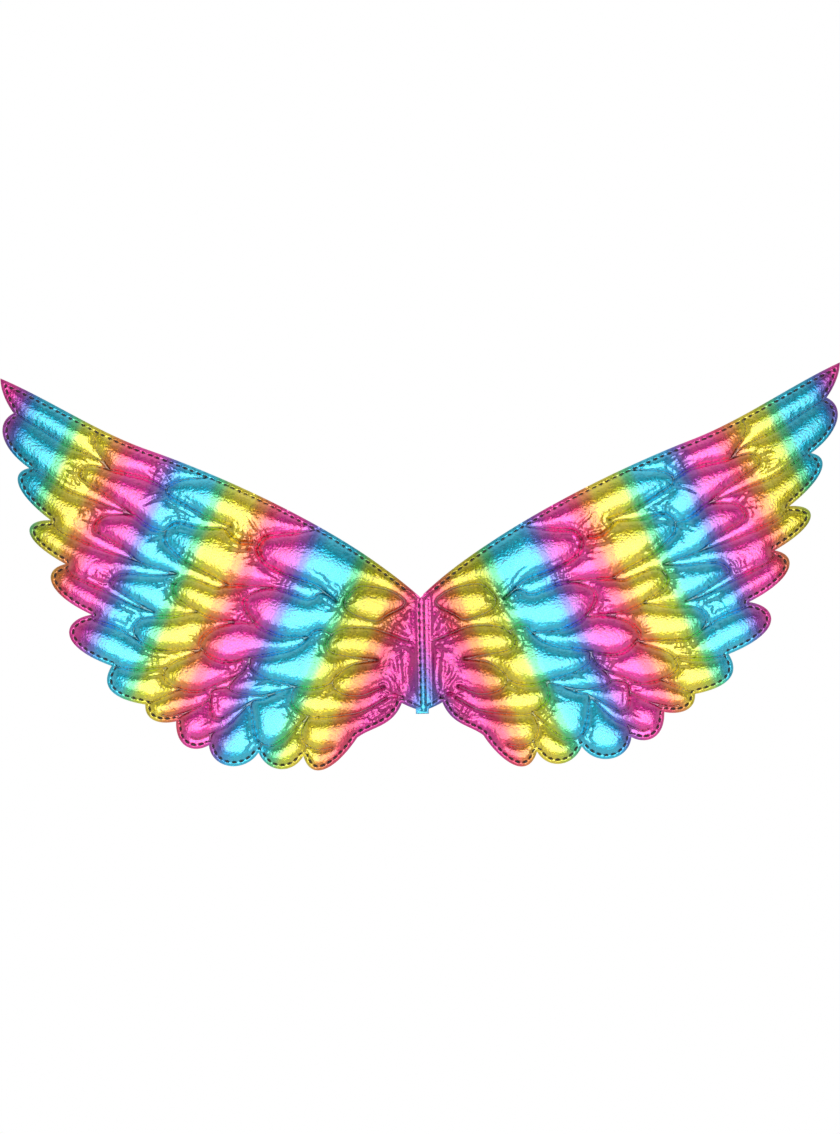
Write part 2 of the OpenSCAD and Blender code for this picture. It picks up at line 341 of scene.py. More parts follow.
def ripple(points, size, seed):
    """Smooth random numbers in patches of one size."""
    return np.array([uneven(p[0] / size, p[1] / size, seed) for p in points])


def drift(points, size, seed):
    """Smooth random moves, in patches of one size."""
    return np.array([noise.noise_vector(Vector((p[0] / size, p[1] / size, seed))) for p in points])[:, :2]


def quilting_curve(line, step, seed):
    """Points along a quilting line, which wanders a little and stops at the edge stitches."""
    curve = smooth_curve(line, step)
    curve = curve + drift(curve, 40, seed) * LINE_WANDER
    distance, _ = to_edge(curve)
    return curve[distance > STITCH_INSET]


def grid_points(loop, step, seed):
    """A slightly uneven grid of triangles inside a loop."""
    low, high = loop.min(axis=0), loop.max(axis=0)
    height = step * math.sqrt(0.75)
    grid_x, grid_y = np.meshgrid(np.arange(low[0], high[0], step), np.arange(low[1], high[1], height))
    grid_x = grid_x + (np.arange(grid_x.shape[0]) % 2)[:, None] * step / 2
    grid = np.column_stack([grid_x.ravel(), grid_y.ravel()])
    grid += np.random.default_rng(seed).uniform(-0.12, 0.12, grid.shape) * step
    return grid[inside(grid, loop)]


class Pattern:
    """Flat triangle mesh of one wing, with lines of points along its edge, stitches and quilting."""

    def __init__(self, step, inner, seed):
        self.step = step
        loop = clipped_outline(step, inner)
        curves = [quilting_curve(line, step, seed) for line in QUILTING]
        quilt = np.vstack(curves)
        lines = np.vstack([loop, quilt])
        rows = np.vstack([inner_row(step, depth) for depth in EDGE_ROWS])
        rows = thinned(rows[rows[:, 0] > inner + 0.6 * step], 0.55 * step)
        distance, _ = Nearest(lines)(rows)
        rows = rows[(distance > 0.5 * step) & inside(rows, loop)]
        fixed = np.vstack([lines, rows])
        grid = grid_points(loop, step, seed)
        distance, _ = Nearest(fixed)(grid)
        points = np.vstack([fixed, grid[distance > 0.62 * step]])
        edges = [(i, (i + 1) % len(loop)) for i in range(len(loop))]
        at = len(loop)
        for curve in curves:
            edges += [(at + i, at + i + 1) for i in range(len(curve) - 1)]
            at += len(curve)
        found = delaunay_2d_cdt([Vector(p) for p in points], edges, [], 0, 1e-4, False)
        self.points = np.array([(v.x, v.y) for v in found[0]])
        faces = np.array([f[:] for f in found[2]])
        self.faces = faces[inside(self.points[faces].mean(axis=1), loop)]
        self.edge_distance, _ = to_edge(self.points)
        self.row_distance, nearest = to_stitches(self.points)
        self.row_place = STITCHES_AT[nearest]
        self.seam_distance, nearest = Nearest(quilt)(self.points)
        places = [along(curve) + 57 * number for number, curve in enumerate(curves) if len(curve)]
        self.seam_place = np.concatenate(places)[nearest]

    def edges(self):
        """Each edge of the mesh once, as a pair of points."""
        pairs = np.vstack([self.faces[:, k] for k in ((0, 1), (1, 2), (2, 0))])
        return np.unique(np.sort(pairs, axis=1), axis=0)


# ---------------------------------------------------------------- cloth
# The cloth is simulated this many times larger, for this many frames
SIM_SCALE = 20
SIM_FRAMES = 10
CLOTH = {
    "quality": 4, "mass": 0.2, "air_damping": 5, "tension_stiffness": 25, "compression_stiffness": 25,
    "shear_stiffness": 8, "bending_stiffness": 1, "vertex_group_mass": "sewn", "pin_stiffness": 1,
    "vertex_group_shrink": "spare", "shrink_min": 0, "shrink_max": -0.09, "use_pressure": True,
    "uniform_pressure_force": 1.5,
}
# Places where the cloth is loose and crumples, as (outwards, up, radius), mostly behind the feathers' tips
LOOSE = [
    (122, 42, 15), (60, 0, 11), (172, 62, 12), (184, 92, 9), (124, -46, 9), (134, -50, 8),
    (228, 20, 10), (247, 92, 11), (237, 62, 9), (178, 10, 9), (129, -10, 7), (16, -71, 12),
    (22, -20, 9), (150, -72, 8), (14, -42, 11), (24, -62, 9), (14, -12, 8), (30, -84, 8),
    (168, 30, 9), (100, 15, 9), (90, -84, 9), (190, -38, 9), (118, -100, 7), (210, -8, 9),
    (70, -30, 8),
]
# Creases that run out of tight spots, as (start, end, depth in mm)
FOLDS = [
    ((14, -71), (32, -69), 1.5), ((15, -72), (33, -61), 0.9), ((14, -69), (24, -49), 0.9),
    ((13, -66), (12, -42), 0.6), ((17, -73), (36, -85), 0.8), ((20, -76), (27, -91), 0.6),
    ((30, -92), (46, -88), 0.5), ((9.5, -28), (28, -21), 0.9), ((9, -25), (18, -10), 0.6),
    ((10, -33), (24, -38), 0.7), ((10, -12), (31, -25), 0.5), ((48, -2), (70, -9), 0.9),
    ((54, 2), (66, 14), 0.6), ((56, -8), (66, -20), 0.6), ((62, -26), (78, -24), 0.6),
    ((113, 34), (139, 38), 1.0), ((114, 40), (131, 49), 0.8), ((112, 45), (124, 62), 0.7),
    ((112, 28), (128, 24), 0.6), ((178, 78), (200, 70), 0.9), ((180, 82), (196, 96), 0.6),
    ((180, 50), (197, 44), 0.8), ((181, 45), (192, 32), 0.6), ((174, 14), (190, 12), 0.8),
    ((173, 10), (186, 0), 0.6), ((124, -2), (140, -5), 0.7), ((122, -8), (132, -18), 0.7),
    ((155, -28), (168, -26), 0.7), ((155, -33), (166, -42), 0.6), ((121, -44), (134, -46), 0.8),
    ((110, -56), (124, -62), 0.6), ((182, -52), (196, -54), 0.7), ((148, -68), (160, -71), 0.7),
    ((90, -72), (104, -76), 0.6), ((60, -62), (72, -70), 0.6), ((62, -36), (76, -40), 0.6),
    ((231, 58), (246, 62), 0.7), ((219, 15), (234, 16), 0.7), ((203, -20), (216, -24), 0.7),
    ((240, 92), (256, 96), 0.7), ((12, -60), (15, -30), 0.5), ((16, -64), (21, -38), 0.5),
    ((11, -16), (12.5, -45), 0.4), ((20, -60), (27, -52), 0.5), ((228, 62), (236, 74), 0.6),
    ((150, -84), (160, -90), 0.6), ((84, -90), (92, -96), 0.5), ((66, 12), (78, 22), 0.6),
]


def smoothstep(low, high, x):
    t = np.clip((x - low) / (high - low), 0, 1)
    return t * t * (3 - 2 * t)


def hump(x, width):
    return np.exp(-(x / width) ** 2)


def held_points(pattern, flat_x):
    """Which points are held down: the sewn margin, the quilting, and the flat part beside the spine."""
    held = (pattern.edge_distance < STITCH_INSET + 0.3) | (pattern.seam_distance < 0.3)
    return held | (pattern.points[:, 0] < flat_x)


def dome(pattern, held):
    """Height of an evenly blown sheet that is held down at some points, by conjugate gradients."""
    a, b = pattern.edges().T
    count = len(pattern.points)
    degree = np.bincount(a, minlength=count) + np.bincount(b, minlength=count)
    free = ~held

    def laplacian(x):
        return (degree * x - np.bincount(a, x[b], count) - np.bincount(b, x[a], count)) * free

    load = np.where(free, 1.5 * pattern.step ** 2, 0)
    x = np.zeros(count)
    residual = load - laplacian(x)
    direction = residual.copy()
    size = residual @ residual
    for _ in range(400):
        turned = laplacian(direction)
        share = size / (direction @ turned)
        x += share * direction
        residual -= share * turned
        new_size = residual @ residual
        if new_size < 1e-6 * count:
            break
        direction = residual + direction * new_size / size
        size = new_size
    return x


def pockets(pattern):
    """A number for each point, shared by all points that no quilting line parts from it."""
    free = (pattern.seam_distance > 0.3) & (pattern.edge_distance > STITCH_INSET)
    edges = pattern.edges()
    a, b = edges[free[edges].all(axis=1)].T
    number = np.arange(len(free))
    changed = True
    while changed:
        lower = number.copy()
        np.minimum.at(lower, a, number[b])
        np.minimum.at(lower, b, number[a])
        lower = lower[lower]
        changed = (lower != number).any()
        number = lower
    return number


def looseness(pattern, seed):
    """How much spare cloth there is at each point, from 0 to 1, kept between its own quilting lines."""
    p = pattern.points
    loose = 0.03 + 0.12 * ripple(p, 18, seed)
    pocket = pockets(pattern)
    inner = pattern.seam_distance > 1.5
    for x, y, radius in LOOSE:
        away = (p[:, 0] - x) ** 2 + (p[:, 1] - y) ** 2
        own = pocket == pocket[np.argmin(np.where(inner, away, np.inf))]
        loose += 1.2 * np.exp(-away / (0.6 * radius * radius)) * np.where(own, 1, 0.12)
    return np.clip(loose, 0.01, 1)


def folds(pattern, seed):
    """The creases' height, each a valley between two ridges, and how close each point is to one."""
    height = np.zeros(len(pattern.points))
    close = np.full(len(pattern.points), FAR)
    bent = pattern.points + 1.6 * drift(pattern.points, 8, seed)
    for number, (start, end, depth) in enumerate(FOLDS):
        move = np.array(noise.noise_vector(Vector((number * 3.7, seed, 0))))[:2] * 1.5
        start, run = np.array(start) + move, np.subtract(end, start)
        t = np.clip((bent - start) @ run / (run @ run), 0, 1)
        distance = np.linalg.norm(bent - start - np.outer(t, run), axis=1)
        fade = np.sin(math.pi * (0.25 + 0.75 * t))
        height += depth * fade * (0.55 * hump(distance - 2.5, 1.4) - hump(distance, 1.1))
        close = np.minimum(close, distance + 0.45 / depth - 0.3 + 2 * t * t)
    return height, close


def crumple(pattern, loose, seed):
    """Height of small dents where there is spare cloth: upright streaks by the spine, else broad ones."""
    rows = []
    for x, y in pattern.points:
        bend = 2.5 * uneven(x / 14, y / 14, seed + 2)
        broad = 1 - 2.4 * abs(uneven((x + y) / 7 + bend, (y - x) / 14, seed))
        streak = uneven(x / 2.1 + bend, y / 13, seed + 9)
        narrow = uneven(x / 3.4, y / 3.4 + bend, seed + 14)
        rows.append((0.55 * broad - 0.25 + 0.25 * narrow, streak))
    broad, streak = np.array(rows).T
    spine_share = smoothstep(48, 20, pattern.points[:, 0])
    return broad * loose * (1 - 0.5 * spine_share) + 0.75 * streak * spine_share * np.clip(0.25 + loose, 0, 1)


def simulated(pattern, start, held, loose):
    """Settles the puffed pattern as cloth, held along its stitches and quilting, and returns its points."""
    mesh = bpy.data.meshes.new("cloth")
    mesh.from_pydata((start * SIM_SCALE).tolist(), [], pattern.faces.tolist())
    cloth = bpy.data.objects.new("cloth", mesh)
    scene.collection.objects.link(cloth)
    sewn = cloth.vertex_groups.new(name="sewn")
    sewn.add(np.where(held)[0].tolist(), 1, "REPLACE")
    spare = cloth.vertex_groups.new(name="spare")
    for index, weight in enumerate(loose.tolist()):
        spare.add([index], weight, "REPLACE")
    modifier = cloth.modifiers.new("cloth", "CLOTH")
    for setting, value in CLOTH.items():
        setattr(modifier.settings, setting, value)
    modifier.settings.effector_weights.gravity = 0
    modifier.collision_settings.use_collision = False
    for number in range(1, SIM_FRAMES + 1):
        scene.frame_set(number)
    shaped = cloth.evaluated_get(bpy.context.evaluated_depsgraph_get())
    result = np.empty(len(mesh.vertices) * 3)
    shaped.data.vertices.foreach_get("co", result)
    scene.frame_set(1)
    bpy.data.objects.remove(cloth)
    return result.reshape(-1, 3) / SIM_SCALE


def edge_profile(pattern, flat_x):
    """Height of the sewn margin: round at the cut edge, and pulled down under each stitch."""
    out = pattern.points[:, 0]
    turn = np.clip(pattern.edge_distance / EDGE_ROUND, 0, 1)
    round_edge = np.sqrt(1 - (1 - turn) ** 2)
    margin = MARGIN_HEIGHT * round_edge * (0.75 + 0.5 * smoothstep(0, 3, pattern.edge_distance))
    under_thread = hump(pattern.row_distance, 0.6)
    between = 0.5 - 0.5 * np.cos(2 * math.pi * (pattern.row_place / STITCH_PITCH - 0.5))
    sewn = margin - STITCH_GROOVE * under_thread + STITCH_BUMP * between * hump(pattern.row_distance, 1.0)
    ridge = SPINE_RIDGE * hump(out - flat_x - 0.5, 1.3)
    hollow = SPINE_HOLLOW * hump(out - flat_x + 1, 1.5) * smoothstep(4.5, 6.5, out)
    flat = SPINE_HEIGHT * round_edge - SPINE_GROOVE * under_thread + ridge - hollow
    share = smoothstep(flat_x + 4, flat_x, out)
    return sewn * (1 - share) + flat * share


def middle_share(out):
    """1 across the middle of a wing, and less by the spine and the tip, where it is softer and its foil gets
    painted shade and less coat.
    """
    return smoothstep(25, 95, out) * (1 - 0.8 * smoothstep(215, 285, out))


def puffed(pattern, flat_x, seed):
    """The puffed face of a wing as (outwards, forwards from the middle, up), and what its foil reads."""
    p = pattern.points
    out, up = p.T
    held = held_points(pattern, flat_x)
    ease = SOFT_EASE + (PUFF_EASE - SOFT_EASE) * middle_share(out)
    swell = PUFF_HEIGHT * (1 - np.exp(-dome(pattern, held) / ease)) * (1 + 0.05 * ripple(p, 9, seed))
    depth = swell + edge_profile(pattern, flat_x) + 0.2 * smoothstep(3.5, 7, pattern.edge_distance)
    loose = looseness(pattern, seed)
    small = 0.5 * loose * ripple(p, 3, seed + 5) * ~held
    start = np.column_stack([out, -(depth + small), up]) * MM
    settled_out, settled_y, settled_up = (simulated(pattern, start, held, loose) / MM).T
    out, depth, up = settled_out, -settled_y, settled_up
    reach = np.minimum(np.maximum(pattern.edge_distance - STITCH_INSET, 0), pattern.seam_distance)
    pucker = np.array([uneven(s / 2, d / 11, seed) for s, d in zip(pattern.seam_place, reach)])
    spread = reach / (1.6 + 1.4 * loose)
    fade = spread * np.exp(1 - spread) * smoothstep(flat_x, flat_x + 5, p[:, 0])
    free = smoothstep(0.4, 2.5, reach) * smoothstep(flat_x, flat_x + 3, p[:, 0])
    creases, close = folds(pattern, seed)
    welt = WELT_HEIGHT * (hump(reach - 2.4, 0.8) - hump(reach - 4.3, 0.9)) * np.clip(1.5 * loose, 0, 1)
    depth = depth + (0.3 + 2.1 * loose) * pucker * fade
    depth = depth + free * (creases + crumple(pattern, loose, seed) + welt)
    return np.column_stack([out, depth, up]) * MM, foil_reads(pattern, loose, close)


def foil_reads(pattern, loose, close):
    """How near a crease or a stitch, how loose, and how much painted light and coat the foil has at each
    point; near creases and stitches it gets painted shade.
    """
    out = pattern.points[:, 0]
    # Near the spine the crease reading is wider, which widens its painted shade and its pressed groove.
    wider = 1 + 0.6 * smoothstep(100, 25, out)
    crease = np.minimum(pattern.seam_distance / wider, np.clip(close, 0.12, FAR))
    crease = np.where(pattern.edge_distance > STITCH_INSET - 1, crease, FAR)
    # Each stitch gets painted shade around it through the same reading.
    from_stitch = STITCH_PITCH * np.abs(pattern.row_place / STITCH_PITCH % 1 - 0.5) - STITCH_LENGTH / 2
    beside = np.hypot(pattern.row_distance, np.maximum(from_stitch, 0))
    return {"crease": np.minimum(crease, beside), "loose": loose, "bright": middle_share(out)}


def mesh_object(name, verts, faces, material, slot, smooth=True):
    """A new object with one material; slot is not used."""
    mesh = bpy.data.meshes.new(name)
    mesh.from_pydata(np.asarray(verts).tolist(), [], faces if isinstance(faces, list) else faces.tolist())
    mesh.update()
    if smooth:
        mesh.shade_smooth()
    mesh.materials.append(material)
    obj = bpy.data.objects.new(name, mesh)
    scene.collection.objects.link(obj)
    return obj


def store(obj, **values):
    """Stores a number or a vector for each point of a mesh, under each name."""
    for name, value in values.items():
        value = np.asarray(value, np.float32)
        if value.ndim == 0:
            value = np.full(len(obj.data.vertices), value)
        kind, key = ("FLOAT", "value") if value.ndim == 1 else ("FLOAT_VECTOR", "vector")
        layer = obj.data.attributes.new(name, kind, "POINT")
        layer.data.foreach_set(key, value.ravel())


def placed(side, outwards, up):
    """Sideways place in the world: the tops of both wings lean a little to the right."""
    return side * outwards + WING_LEAN * up * smoothstep(10 * MM, 50 * MM, outwards)


def band_phase(outwards, up, side):
    """Place in the rainbow's bands, which run on with every whole number."""
    shift = LEFT_BAND_SHIFT if side < 0 else 0
    return (outwards + BAND_SLOPE * up) / BAND_LENGTH + shift + 4


def cover(name, pattern, shape, reads, side, facing):
    """A cover from its puffed shape; side is 1 for right, facing is -1 for the front."""
    across = placed(side, shape[:, 0], shape[:, 2])
    depth = shape[:, 1] if facing < 0 else shape[:, 1] * BACK_SHARE
    verts = np.column_stack([across, MID_Y + facing * depth, shape[:, 2] + NOTCH_Z])
    faces = pattern.faces if side * facing < 0 else pattern.faces[:, ::-1]
    obj = mesh_object(name, verts, faces, FOIL, "foil_fabric")
    out, up = pattern.points.T
    flat = np.column_stack([side * out, up, np.full(len(verts), facing * 50.0)])
    store(obj, phase=band_phase(out, up, side), flat=flat, **reads)
    return obj


# ---------------------------------------------------------------- materials
class Graph:
    """The shader nodes of a material or of the world."""

    def __init__(self, owner):
        owner.use_nodes = True
        self.nodes = owner.node_tree.nodes
        self.links = owner.node_tree.links

    def feed(self, node, inputs):
        """Links other nodes' outputs to a node's inputs, or sets its own numbers and colours."""
        for key, value in inputs.items():
            if isinstance(value, bpy.types.NodeSocket):
                self.links.new(value, node.inputs[key])
            else:
                node.inputs[key].default_value = value

    def add(self, kind, inputs, output=0, **settings):
        """Adds a node and gives back one of its outputs."""
        node = self.nodes.new("ShaderNode" + kind)
        for key, value in settings.items():
            setattr(node, key, value)
        self.feed(node, inputs)
        return node.outputs[output] if node.outputs else None

    def attribute(self, name, output="Fac"):
        return self.add("Attribute", {}, output, attribute_name=name)

    def maths(self, operation, *values):
        return self.add("Math", dict(enumerate(values)), operation=operation)

    def ease(self, value, low, high, to_low, to_high):
        """A smooth step from one level to another."""
        inputs = {"Value": value, "From Min": low, "From Max": high, "To Min": to_low, "To Max": to_high}
        return self.add("MapRange", inputs, "Result", interpolation_type="SMOOTHSTEP")

    def ramp(self, place, stops, interpolation="LINEAR"):
        """A colour that changes along a list of (place, colour)."""
        colour = self.add("ValToRGB", {"Fac": place})
        ramp = colour.node.color_ramp
        ramp.interpolation = interpolation
        ramp.elements.remove(ramp.elements[1])
        for number, (at, value) in enumerate(stops):
            stop = ramp.elements[0] if number == 0 else ramp.elements.new(at)
            stop.position = at
            stop.color = (*value, 1)
        return colour

    def bump(self, height, distance, strength, below=None):
        """A normal that follows a height, on top of another normal."""
        inputs = {"Height": height, "Distance": distance, "Strength": strength}
        if below is not None:
            inputs["Normal"] = below
        return self.add("Bump", inputs, "Normal")


def new_material(name):
    material = bpy.data.materials.new(name)
    graph = Graph(material)
    return material, graph, graph.nodes["Principled BSDF"]


def foil_colour(graph, crease, bright):
    """The rainbow's colour at a point, with painted shade in creases, beside stitches and near the spine and
    the tips.
    """
    rainbow = graph.ramp(graph.maths("FRACT", graph.attribute("phase")), RAINBOW, "EASE")
    shade = graph.maths(
        "MULTIPLY", graph.ease(crease, 0.05, 0.6, CREASE_SHADE, 1), graph.ease(bright, 0, 1, PAINTED_END_SHADE, 1))
    return graph.add("VectorMath", {0: rainbow, "Scale": shade}, operation="SCALE")


def foil_material():
    """Rainbow foil on a fine knit: a broad coloured shine under a thin clear film."""
    material, graph, shader = new_material("rainbow_foil")
    crease, bright = graph.attribute("crease"), graph.attribute("bright")
    flat = graph.attribute("flat", "Vector")
    grain = graph.add("TexNoise", {"Vector": flat, "Scale": 0.6, "Detail": 1, "Roughness": 0.6}, "Fac")
    wrinkles = graph.add("TexNoise", {"Vector": flat, "Scale": 0.22, "Detail": 2, "Distortion": 1.2}, "Fac")
    crackle = graph.add("TexVoronoi", {"Vector": flat, "Scale": 0.5}, "Distance")
    pressed = graph.bump(graph.ease(crease, 0, 1.1, 0, 1), 0.0006, 1)
    slack = graph.maths("MULTIPLY", wrinkles, graph.attribute("loose"))
    rumpled = graph.bump(slack, 0.0014, 0.3, pressed)
    coarse = graph.bump(crackle, 0.0006, 0.28, rumpled)
    graph.feed(shader, {
        # Base colour with painted shade; the coat is thinner near the spine and the tips.
        "Base Color": foil_colour(graph, crease, bright),
        "Metallic": 1,
        "Roughness": graph.ease(grain, 0.3, 0.7, 0.27, 0.40),
        "Normal": graph.bump(grain, 0.0008, 0.42, coarse),
        "Coat Weight": graph.ease(bright, 0, 1, 0.7, 1),
        "Coat Roughness": 0.16,
        "Coat IOR": 1.8,
        "Coat Normal": graph.bump(grain, 0.0006, 0.24, rumpled),
    })
    return material


def fibre_material(name, colour, roughness, sheen, fuzz):
    """An even material with fine bumps all over: their scale, detail, depth and strength."""
    material, graph, shader = new_material(name)
    place = graph.add("TexCoord", {}, "Object")
    bumps = graph.add("TexNoise", {"Vector": place, "Scale": fuzz["scale"], "Detail": fuzz["detail"]}, "Fac")
    graph.feed(shader, {
        "Base Color": (*colour, 1),
        "Roughness": roughness,
        "Sheen Weight": sheen,
        "Normal": graph.bump(bumps, fuzz["depth"], fuzz["strength"]),
    })
    return material


def thread_material():
    fuzz = {"scale": 9000, "detail": 2, "depth": 0.0001, "strength": 0.4}
    return fibre_material("dark_thread", THREAD_COLOUR, 0.45, 0.2, fuzz)


def wadding_material():
    fuzz = {"scale": 700, "detail": 4, "depth": 0.001, "strength": 1}
    return fibre_material("white_wadding", WADDING_COLOUR, 1, 0.5, fuzz)


def elastic_material():
    """White woven elastic: fine ribs along it and a tighter weave across."""
    material, graph, shader = new_material("white_elastic")
    weave = graph.attribute("weave", "Vector")
    ribs = graph.add("TexWave", {"Vector": weave, "Scale": 0.31}, "Fac", bands_direction="X")
    picks = graph.add(
        "TexWave", {"Vector": weave, "Scale": 0.45, "Distortion": 0.4}, "Fac", bands_direction="Y")
    graph.feed(shader, {
        "Base Color": (*ELASTIC_COLOUR, 1),
        "Roughness": 0.75,
        "Sheen Weight": 0.3,
        "Normal": graph.bump(picks, 0.00015, 0.6, graph.bump(ribs, 0.0003, 0.8)),
    })
    return material


# ---------------------------------------------------------------- room, light and camera
VIEW_HEIGHT = 0.8103
CAMERA_DISTANCE = 2.5
VIEW_MIDDLE = (0.0003, 0.06225)
ROLL = math.radians(1.1)
FLOOR_Z = -0.9
FLOOR_SIZE = 3
FLOOR_COLOUR = (0.86, 0.86, 0.87, 1)
FLOOR_GLOW = 0.6
# Brightness of the studio, from straight down (0) to straight up (1)
SKY = [(0.0, 0.02), (0.18, 0.05), (0.40, 0.30), (0.58, 0.25), (0.70, 0.11), (1.0, 1.0)]
# Softboxes as (direction towards it, level, cosine where it is full, cosine where it ends)
SOFTBOXES = [
    ((0, -0.97, -0.24), 2.9, 0.965, 0.82),
    ((0.97, -0.1, 0.2), 0.45, 0.95, 0.6),
    ((-0.97, -0.1, 0.2), 0.45, 0.95, 0.6),
    ((0, 0.95, 0.3), 1.9, 0.95, 0.7),
]


def environment():
    """A white sheet behind the object for the camera, and a soft studio around it for all else."""
    world = bpy.data.worlds.new("studio")
    scene.world = world
    graph = Graph(world)
    graph.nodes.clear()
    direction = graph.add("TexCoord", {}, "Generated")
    up = graph.add("SeparateXYZ", {0: direction}, "Z")
    height = graph.add("MapRange", {"Value": up, "From Min": -1}, "Result")
    total = graph.ramp(height, [(place, (level,) * 3) for place, level in SKY])
    for towards, level, full, end in SOFTBOXES:
        facing = graph.add("VectorMath", {0: direction, 1: towards}, "Value", operation="DOT_PRODUCT")
        total = graph.maths("ADD", total, graph.ease(facing, end, full, 0, level))
    studio = graph.add("Background", {"Color": WHITE, "Strength": total})
    sheet = graph.add("Background", {"Color": WHITE})
    seen = graph.add("LightPath", {}, "Is Camera Ray")
    graph.add("OutputWorld", {"Surface": graph.add("MixShader", {0: seen, 1: studio, 2: sheet})})


def room():
    """A plain pale floor in the studio."""
    environment()
    bpy.ops.mesh.primitive_plane_add(size=FLOOR_SIZE, location=(0, 0, FLOOR_Z))
    floor = bpy.context.object
    floor.name = "floor"
    material, graph, shader = new_material("pale_floor")
    graph.feed(shader, {
        "Base Color": FLOOR_COLOUR,
        "Roughness": 0.8,
        "Emission Color": WHITE,
        "Emission Strength": graph.maths("MULTIPLY", graph.add("LightPath", {}, "Is Camera Ray"), FLOOR_GLOW),
    })
    floor.data.materials.append(material)
    scene.view_settings.view_transform = "Standard"


def photo_camera():
    """The camera square on to the front, rolled a little."""
    data = bpy.data.cameras.new("camera")
    data.lens = data.sensor_width * CAMERA_DISTANCE / VIEW_HEIGHT
    camera = bpy.data.objects.new("camera", data)
    camera.location = (VIEW_MIDDLE[0], MID_Y - CAMERA_DISTANCE, VIEW_MIDDLE[1])
    camera.rotation_euler = (math.radians(90), ROLL, 0)
    scene.collection.objects.link(camera)
    scene.camera = camera


# ---------------------------------------------------------------- thread and bands
def loft(rings):
    """A skin over equal rings of points, with flat ends: (points, faces)."""
    rings = np.asarray(rings, float)
    count, sides = rings.shape[:2]
    faces = []
    for r in range(count - 1):
        for k in range(sides):
            a, b = r * sides + k, r * sides + (k + 1) % sides
            faces.append((a, b, b + sides, a + sides))
    last = (count - 1) * sides
    faces.append(tuple(reversed(range(sides))))
    faces.append(tuple(last + k for k in range(sides)))
    return rings.reshape(-1, 3), faces


def directions(path):
    """The unit direction of a path at each of its points."""
    slope = np.gradient(path, axis=0)
    return slope / np.linalg.norm(slope, axis=1)[:, None]


def tube(path, radius, sides):
    """A closed tube round a path of points: (points, faces)."""
    slope = directions(path)
    first = np.cross(slope, (0.0, 1.0, 0.0))
    first /= np.linalg.norm(first, axis=1)[:, None]
    second = np.cross(slope, first)
    rings = []
    for turn in np.arange(sides, 0, -1) * 2 * math.pi / sides:
        rings.append(path + radius * (first * math.cos(turn) + second * math.sin(turn)))
    return loft(np.stack(rings, axis=1))


class Heap:
    """Collects many small shapes into one mesh."""

    def __init__(self):
        self.verts = []
        self.faces = []
        self.count = 0

    def add(self, verts, faces):
        self.verts.append(np.asarray(verts, float))
        self.faces += [tuple(i + self.count for i in f) for f in faces]
        self.count += len(verts)

    def build(self, name, material, slot):
        return mesh_object(name, np.vstack(self.verts), self.faces, material, slot)


def add_stitch(heap, path, facing):
    """Two plies of thread along a path on the cloth's front or back; the ends dip into the cloth."""
    outward = np.array((0.0, facing, 0.0))
    t = np.linspace(0, 1, len(path))
    lift = (-0.6 + 0.98 * np.sin(math.pi * t) ** 0.45) * MM
    path = np.asarray(path, float) + np.outer(lift, outward)
    side = np.cross(directions(path), outward)
    for start in (0, math.pi):
        angle = start + t * 2.2 * 2 * math.pi
        ply = path + PLY_OFFSET * (side * np.cos(angle)[:, None] + np.outer(np.sin(angle), outward))
        heap.add(*tube(ply, PLY_RADIUS, 6))


def stitch_paths():
    """Points along each edge stitch of the right wing's drawing, as the CAD spaces them."""
    count = int(STITCHES_AT[-1] // STITCH_PITCH)
    for n in range(count):
        middle = (n + 0.5) * STITCH_PITCH
        places = np.linspace(middle - STITCH_LENGTH / 2, middle + STITCH_LENGTH / 2, 9)
        yield np.column_stack([np.interp(places, STITCHES_AT, STITCHES[:, k]) for k in (0, 1)])


def tree_of(obj):
    """A search tree of a piece's surface."""
    faces = [list(f.vertices) for f in obj.data.polygons]
    return BVHTree.FromPolygons([v.co for v in obj.data.vertices], faces)


def surface_y(tree, x, z, facing):
    """The y at which a cover's surface is met at x, z."""
    hit = tree.ray_cast(Vector((x, facing, z)), Vector((0, -facing, 0)))
    return hit[0].y if hit[0] else None


def edge_stitching(word, side, trees):
    """The lockstitch round a wing, on both covers."""
    heap = Heap()
    first_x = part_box("right_edge_stitching")[0].x - MM / 2
    for path in stitch_paths():
        if path[:, 0].min() * MM < first_x:
            continue
        for facing, tree in trees:
            points = []
            for x, z in path * MM:
                across = float(placed(side, x, z))
                points.append((across, surface_y(tree, across, z + NOTCH_Z, facing), z + NOTCH_Z))
            if all(q[1] is not None for q in points):
                add_stitch(heap, points, facing)
    obj = heap.build(f"{word}_edge_stitching.thread", THREAD, "thread")
    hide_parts(f"{word}_edge_stitching")
    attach(obj, f"{word}_wing")
    return obj


# The wadding's mesh size, its start beside the spine, and its gaps to the edge and the covers, in mm
PADDING_STEP = 4
PADDING_START = 10
PADDING_INSET = 4.5
PADDING_GAP = 0.3


